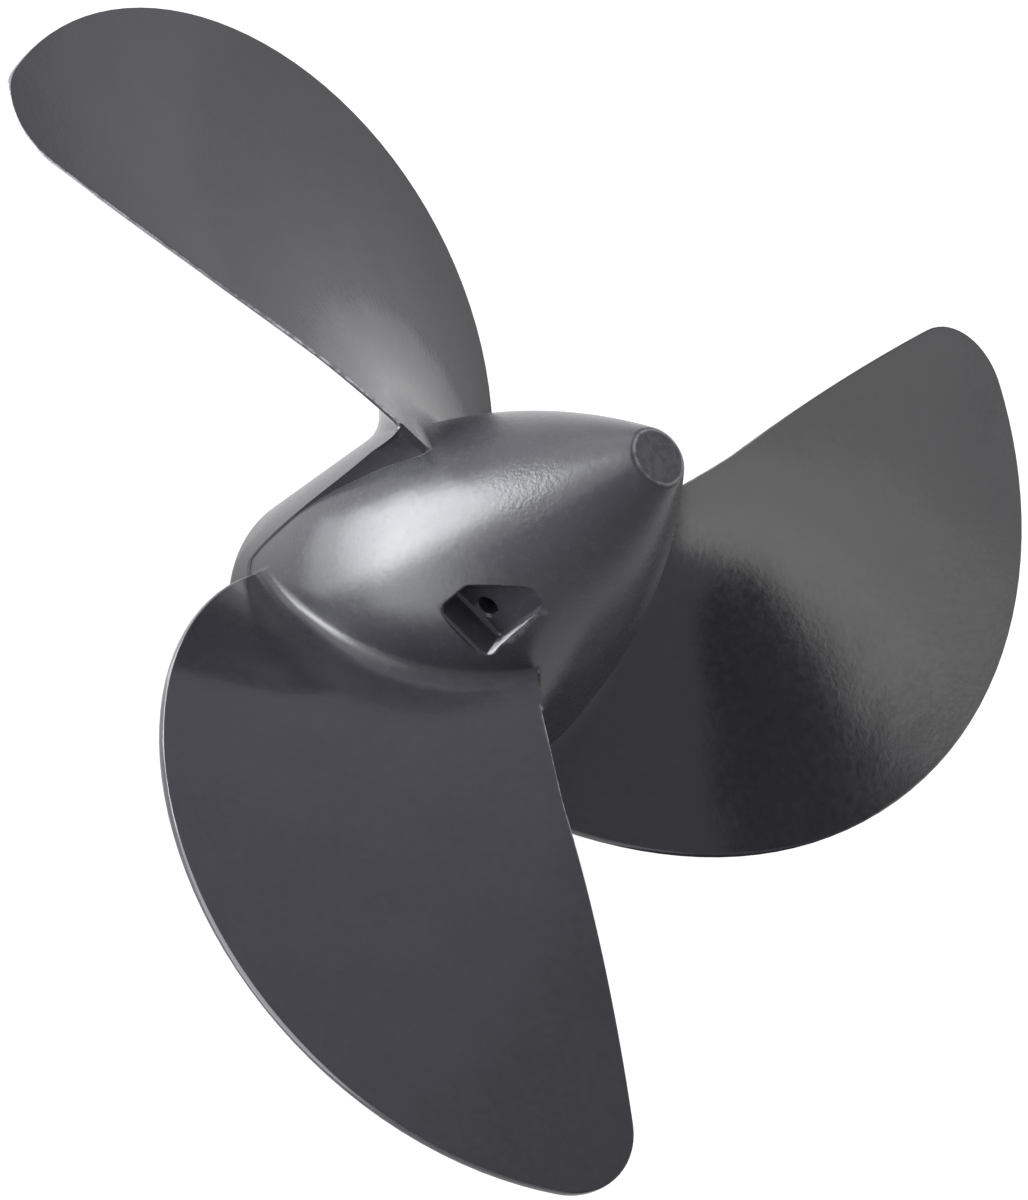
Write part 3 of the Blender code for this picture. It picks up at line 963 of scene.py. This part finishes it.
# Gloss: sharp on the blades, softer on the hub, duller on the pale edge marks, and uneven with the
# specks.
gloss = add(enamel, "ShaderNodeMapRange", {"Value": on_hub.outputs[0]},
            {"To Min": 0.15, "To Max": 0.26})
uneven = add(enamel, "ShaderNodeMapRange", {"Value": speck.outputs["Fac"]},
             {"From Min": 0.3, "From Max": 0.7, "To Min": -0.03, "To Max": 0.03})
rough = add(enamel, "ShaderNodeMath", {0: gloss.outputs[0], 1: uneven.outputs[0]},
            operation="ADD")
marked_roughness = add(enamel, "ShaderNodeMath", {0: edge_marks.outputs[0], 2: rough.outputs[0]}, {1: 0.25},
           operation="MULTIPLY_ADD")

# Grain of the die: 0.6 mm pits on the hub towards the nose, in patches, deepest in one spot.
pits = add(enamel, "ShaderNodeTexNoise", {"Vector": place},
           {"Scale": 1 / (0.6 * MM), "Detail": 2.0, "Roughness": 0.6})
up_hub = add(enamel, "ShaderNodeMapRange", {"Value": xyz.outputs["Z"]},
             {"From Min": 30 * MM, "From Max": 52 * MM, "To Min": 0.0, "To Max": 0.8})
patch = add(enamel, "ShaderNodeMapRange", {"Value": cloud.outputs["Fac"]},
            {"From Min": 0.42, "From Max": 0.62, "To Max": 0.4})
GRAINY_SPOT = Vector((9.2, 8.6, 54)) * MM
from_spot = add(enamel, "ShaderNodeVectorMath", {0: place}, {1: GRAINY_SPOT},
                operation="DISTANCE")
spot = add(enamel, "ShaderNodeMapRange", {"Value": from_spot.outputs["Value"]},
           {"From Min": 3.5 * MM, "From Max": 7.5 * MM, "To Min": 1.0, "To Max": 0.0})
deeper = add(enamel, "ShaderNodeMath", {0: patch.outputs[0], 1: spot.outputs[0]},
             operation="MAXIMUM")
grain = add(enamel, "ShaderNodeMath", {0: up_hub.outputs[0], 1: deeper.outputs[0]},
            operation="MULTIPLY")
grain_on_hub = add(enamel, "ShaderNodeMath", {0: grain.outputs[0], 1: on_hub.outputs[0]},
                   operation="MULTIPLY")
pitted = add(enamel, "ShaderNodeBump",
             {"Height": pits.outputs["Fac"], "Strength": grain_on_hub.outputs[0]},
             {"Distance": 0.08 * MM})

# Orange peel of 0.9 mm, and the metal's long waves of 12 mm.
peel = add(enamel, "ShaderNodeTexNoise", {"Vector": place},
           {"Scale": 1 / (0.9 * MM), "Detail": 2.0, "Roughness": 0.5})
wave = add(enamel, "ShaderNodeTexNoise", {"Vector": place},
           {"Scale": 1 / (12 * MM), "Detail": 1.0, "Roughness": 0.4})
depth = add(enamel, "ShaderNodeMapRange", {"Value": on_hub.outputs[0]},
            {"To Min": 0.34, "To Max": 0.6})
peel_links = {"Height": peel.outputs["Fac"], "Strength": depth.outputs[0]}
peeled = add(enamel, "ShaderNodeBump", {**peel_links, "Normal": pitted.outputs[0]},
             {"Distance": 0.03 * MM})
waved = add(enamel, "ShaderNodeBump",
            {"Height": wave.outputs["Fac"], "Normal": peeled.outputs["Normal"]},
            {"Strength": 0.5, "Distance": 0.2 * MM})
coat(casting, enamel, base_color=skin.outputs[2], roughness=marked_roughness.outputs[0],
     normal=waved.outputs["Normal"])

# %% [markdown]
# The bush: black natural rubber, pressed in a steel mould
#
# Carbon black makes it almost black, and a moulded face is matt, with a dusty bloom where wax has
# come to the surface. The bloom shows as slightly paler clouds, and the mould's own blasted
# surface as a fine grain, drawn here as bumps of 0.5 mm.

# %% Black rubber
rubber = new_material("moulded_rubber", base_color=colour("#1d1d1e"), roughness=0.72, ior=1.52)
place = add(rubber, "ShaderNodeTexCoord").outputs["Object"]
bloom = add(rubber, "ShaderNodeTexNoise", {"Vector": place},
            {"Scale": 1 / (6 * MM), "Detail": 5.0, "Roughness": 0.65})
dust = add(rubber, "ShaderNodeMapRange", {"Value": bloom.outputs["Fac"]},
           {"From Min": 0.35, "From Max": 0.7})
black = add(rubber, "ShaderNodeMix", {0: dust.outputs[0]},
            {6: colour("#19191a"), 7: colour("#29292a")}, data_type="RGBA")
matt = add(rubber, "ShaderNodeMapRange", {"Value": bloom.outputs["Fac"]},
           {"From Min": 0.3, "From Max": 0.7, "To Min": 0.6, "To Max": 0.82})
blasted = add(rubber, "ShaderNodeTexNoise", {"Vector": place},
              {"Scale": 1 / (0.5 * MM), "Detail": 2.0})
moulded = add(rubber, "ShaderNodeBump", {"Height": blasted.outputs["Fac"]},
              {"Strength": 0.5, "Distance": 0.04 * MM})
coat(bush, rubber, base_color=black.outputs[2], roughness=matt.outputs[0],
     normal=moulded.outputs["Normal"])

# %% [markdown]
# The sleeve: free-cutting brass, turned on a lathe
#
# The tool leaves a spiral of fine rings about 0.15 mm apart, which draw the highlight out across
# them. Rings that fine would vanish between the pixels, so shallow ones 2.5 mm apart stand for
# them. Bare brass that has been handled also has darker, duller clouds of tarnish.

# %% Turned brass
RING_SCALE = 125.0  # a wave texture of scale 1 repeats every pi / 10 m, so this is 2.5 mm
brass = new_material("turned_brass", base_color=colour("#c9a24f"), roughness=0.3, metallic=1.0)
place = add(brass, "ShaderNodeTexCoord").outputs["Object"]
tarnish = add(brass, "ShaderNodeTexNoise", {"Vector": place},
              {"Scale": 1 / (4 * MM), "Detail": 5.0, "Roughness": 0.6})
age = add(brass, "ShaderNodeMapRange", {"Value": tarnish.outputs["Fac"]},
          {"From Min": 0.4, "From Max": 0.7})
gold = add(brass, "ShaderNodeMix", {0: age.outputs[0]},
           {6: colour("#cfa954"), 7: colour("#9c7a3c")}, data_type="RGBA")
dull = add(brass, "ShaderNodeMapRange", {"Value": age.outputs[0]},
           {"To Min": 0.22, "To Max": 0.42})
rings = add(brass, "ShaderNodeTexWave", {"Vector": place},
            {"Scale": RING_SCALE, "Distortion": 0.3, "Detail": 1.0},
            wave_type="RINGS", rings_direction="Z")
turned_marks = add(brass, "ShaderNodeBump", {"Height": rings.outputs["Fac"]},
                   {"Strength": 0.4, "Distance": 0.02 * MM})
coat(sleeve, brass, base_color=gold.outputs[2], roughness=dull.outputs[0],
     normal=turned_marks.outputs["Normal"])

# %% [markdown]
# The floor: a light table
#
# A dark product is often photographed on a sheet of opal acrylic that is lit from below, so that
# the ground comes out pure white and swallows the shadows. Here the sheet is one large square. It
# glows by itself, which stands for the lamps under it, and scatters a third of what falls on it.

# %% Floor
FLOOR_WIDTH = 12.0
FLOOR_DROP = 0.1 * MM  # clear of the casting's flat front, so that the two don't flicker
floor_net = bmesh.new()
bmesh.ops.create_grid(floor_net, x_segments=1, y_segments=1, size=FLOOR_WIDTH / 2)
floor = from_net("studio_floor", floor_net)
floor.location.z = -FLOOR_DROP
opal = new_material("opal_acrylic_sheet", base_color=colour("#9a9a9a"), roughness=0.6, ior=1.49,
                    emission_color=(1, 1, 1, 1), emission_strength=0.92)
coat(floor, opal)
print("floor at height", round(floor.location.z / MM, 1), "mm,", FLOOR_WIDTH, "m wide")

# %% [markdown]
# Light that is placed by what it draws
#
# A dark, half-glossy enamel shows little of its own colour. What the eye reads as its shape is the
# room mirrored in it, so each light is placed where the surface that should shine looks to. Two
# helpers do that. One makes a rectangular lamp of a given brightness. The other hangs such a lamp
# in a direction, as azimuth and elevation in degrees, seen from the propeller. The brightness is
# given as radiance, because then a larger lamp doesn't change how bright its reflection is.

# %% Lamps and directions
scene = bpy.context.scene
scene.view_settings.view_transform = "Standard"
HUB_MIDDLE = Vector((0, 0, 25)) * MM
FAR_BLADE = Vector((-44, -35, 30)) * MM
NEUTRAL, COOL, WARM, VIOLET = (1, 1, 1), (0.94, 0.985, 1), (1, 0.99, 0.92), (0.86, 0.83, 1)
ROOM = (0.95, 0.94, 1)


def area_light(name, matrix, width, height, radiance, tint=NEUTRAL):
    """A rectangular lamp, placed and turned by a matrix, that shines along its own -Z."""
    light = bpy.data.lights.new(name, "AREA")
    light.shape = "RECTANGLE"
    light.size, light.size_y = width, height
    light.energy = radiance * math.pi * width * height
    light.color = tint
    lamp = new_object(name, light)
    lamp.matrix_world = matrix
    lamp.visible_camera = False


def direction(azimuth, elevation):
    a, e = math.radians(azimuth), math.radians(elevation)
    return Vector((math.cos(a) * math.cos(e), math.sin(a) * math.cos(e), math.sin(e)))


def softbox(name, azimuth, elevation, width, height, radiance, tint=NEUTRAL, distance=1.2):
    """A soft box in a direction from the propeller, with its width and height in degrees."""
    out = direction(azimuth, elevation)
    sizes = [2 * distance * math.tan(math.radians(v) / 2) for v in (width, height)]
    facing_hub = out.to_track_quat("Z", "Y").to_matrix().to_4x4()
    matrix = Matrix.Translation(HUB_MIDDLE + out * distance) @ facing_hub
    area_light(name, matrix, *sizes, radiance, tint)
    print(f"{name}: {sizes[0]:.2f} x {sizes[1]:.2f} m at radiance {radiance}")


# %% [markdown]
# The room, and the soft boxes
#
# The walls and the ceiling give an even, slightly violet light, which is what the near blade
# mirrors. A wide, low box to the left of the picture draws the broad grey glow along the hub. Two
# weak boxes hang beyond the propeller, opposite the camera, one high and one low. They lift what
# mirrors that side, so that it doesn't turn black.

# %% Room and soft boxes
world = bpy.data.worlds.new("studio_room")
scene.world = world
world.use_nodes = True
walls = world.node_tree.nodes["Background"]
walls.inputs["Color"].default_value = (*ROOM, 1)
walls.inputs["Strength"].default_value = 0.55
softbox("glow_box", azimuth=8, elevation=15, width=96, height=34, radiance=1.75)
softbox("window_box", azimuth=-55, elevation=38, width=80, height=56, radiance=0.29, tint=VIOLET)
softbox("low_window_box", azimuth=-108, elevation=14, width=36, height=26, radiance=0.45)

# %% [markdown]
# The highlight on the hub
#
# The brightest patch is low on the hub, where it faces the table to the left. It runs along the
# hub, so what it mirrors is a bright wedge of table that starts near the propeller and widens
# away from it. The wedge is made of six rectangles in a row, each longer and wider than the one
# before it, and the two nearest are weaker, so that the highlight has no hard end. A weak panel
# beside them carries the glow a little further round the hub, and a low box where the wedge ends
# carries it up to the nose.

# %% Panels on the table
WEDGE_AZIMUTH = 20
WEDGE_START = 0.045
WEDGE_SPREAD = 0.68  # its width, as a share of the distance from the shaft
WEDGE_GROWTH = [1.5, 1.5, 2.0, 2.0, 2.0, 2.0]  # each panel's far end over its near end
WEDGE_RADIANCE = [3, 9, 14.5, 14.5, 14.5, 11]
PANEL_HEIGHT = Vector((0, 0, 1)) * MM


def table_panel(name, azimuth, near, far, width, radiance):
    """A panel on the table that glows upwards, from a near to a far distance in metres."""
    middle = direction(azimuth, 0) * (near + far) / 2 + PANEL_HEIGHT
    turn = Matrix.Rotation(math.radians(azimuth), 4, "Z") @ Matrix.Rotation(math.pi, 4, "X")
    area_light(name, Matrix.Translation(middle) @ turn, far - near, width, radiance, COOL)


near = WEDGE_START
for number, (growth, radiance) in enumerate(zip(WEDGE_GROWTH, WEDGE_RADIANCE), start=1):
    far = near * growth
    width = WEDGE_SPREAD * (near + far) / 2
    table_panel(f"table_panel_{number}", WEDGE_AZIMUTH, near, far, width, radiance)
    near = far
table_panel("side_table_panel", azimuth=62, near=0.09, far=0.40, width=0.20, radiance=4.2)
softbox("horizon_box", azimuth=24, elevation=5, width=24, height=12, radiance=8, tint=COOL,
        distance=1.1)
print("a glowing wedge on the table,", WEDGE_START, "to", round(far, 2), "m from the shaft")

# %% [markdown]
# The dark patch on the far blade
#
# The blade behind the hub mirrors the edge of a side light: it is grey beyond that edge and almost
# black before it. Three boxes share one slanting edge and reach down from it by different amounts,
# so that the grey fades away from the edge. A black card hangs on the other side of the edge, as
# photographers use to keep a glossy surface dark.

# %% Side boxes with one shared edge
EDGE_START, EDGE_END = (-171.5, 36), (-143, 61)


def edge_box(name, depth, radiance, distance=1.3):
    """A box whose upper edge is the shared one, reaching down from it by a depth in degrees."""
    a, b = direction(*EDGE_START), direction(*EDGE_END)
    along = (b - a).normalized()
    middle = (a + b).normalized()
    down = middle.cross(along)
    if down.z > 0:
        down = -down
    turn = math.radians(depth / 2)
    out = middle * math.cos(turn) + down * math.sin(turn)
    width, height = (b - a).length * distance, 2 * math.tan(turn) * distance
    facing_blade = Matrix((along, out.cross(along), out)).transposed().to_4x4()
    matrix = Matrix.Translation(FAR_BLADE + out * distance) @ facing_blade
    area_light(name, matrix, width, height, radiance, WARM)


edge_box("side_box", depth=8, radiance=0.5)
edge_box("mid_side_box", depth=16, radiance=0.75)
edge_box("wide_side_box", depth=36, radiance=1.05)
print("side boxes share an edge from", EDGE_START, "to", EDGE_END)

# %% Black card
CARD_CORNERS = [(-142, 61), (-149, 59), (-157, 52.5), (-164, 47.5), (-173, 48)]
CARD_CORNERS += [(-181, 52), (-188, 60), (-189, 70), (-180, 77), (-150, 77)]


def flat_card(name, corners, material):
    """A flat card that only reflections see."""
    mesh = bpy.data.meshes.new(name)
    mesh.from_pydata(corners, [], [list(range(len(corners)))])
    card = new_object(name, mesh)
    coat(card, material)
    card.visible_camera = card.visible_diffuse = card.visible_shadow = False


velvet = new_material("black_velvet", base_color=colour("#050505"), roughness=1.0,
                      specular_ior_level=0.0)
flat_card("black_card", [FAR_BLADE + direction(*corner) for corner in CARD_CORNERS], velvet)
print("black card, 1 m from the blade, with", len(CARD_CORNERS), "corners")

# %% [markdown]
# Dark cards on the table, as painted shadow
#
# The hub's far side looks down to the table beyond it. That side stays dark, because the table
# there lies in the far blade's shadow, which the glowing table doesn't show. A dark card lies on
# the table under the far blade as painted shadow, black close to the hub and grey further out. The
# camera doesn't see it, only the glossy paint does.

# %% Cards under the far blade, as painted shadow
CARD_HEIGHT = 0.8
CARD_TURNS = np.radians(np.linspace(-190, -118, 13))


def painted_shadow_card(name, near, far, material):
    """A sector of card flat on the table, beyond the hub, from a near to a far distance in mm:
    painted shadow of the far blade.
    """
    outline = [at(near, t, CARD_HEIGHT) for t in CARD_TURNS]
    outline += [at(far, t, CARD_HEIGHT) for t in CARD_TURNS[::-1]]
    flat_card(name, [Vector(p) * MM for p in outline], material)


shadow_grey_card = new_material("shadow_grey_card", base_color=colour("#8c8c8c"), roughness=1.0,
                         specular_ior_level=0.0)
# Painted shadow: black near the hub, grey further out.
painted_shadow_card("near_painted_shadow_card", near=26, far=95, material=velvet)
painted_shadow_card("far_painted_shadow_card", near=95, far=240, material=shadow_grey_card)
print("two cards on the table, out to 240 mm")

# %% [markdown]
# The camera
#
# The picture was taken from well above, from 1.1 m away, with the hub's nose turned to the right.
# A long lens from that far keeps the blades' proportions. Its place and its three axes come from
# matching the blades' outlines and the hub's outline in the picture.

# %% Camera
camera = bpy.data.cameras.new("photo_camera")
camera.lens = 240.97
camera.sensor_width = 36
camera.sensor_fit = "AUTO"
camera.clip_start = 0.05
camera.clip_end = 30
eye = new_object("photo_camera", camera)
to_right = Vector((-0.69121, -0.43853, 0.57439))
to_top = Vector((0.70169, -0.59737, 0.38832))
backwards = Vector((0.17283, 0.67145, 0.72062))
eye_place = Vector((183.0, 730.9, 812.0)) * MM
axes = Matrix((to_right, to_top, backwards)).transposed().to_4x4()
eye.matrix_world = Matrix.Translation(eye_place) @ axes
scene.camera = eye
print("camera", round((eye_place - HUB_MIDDLE).length, 2), "m from the hub")
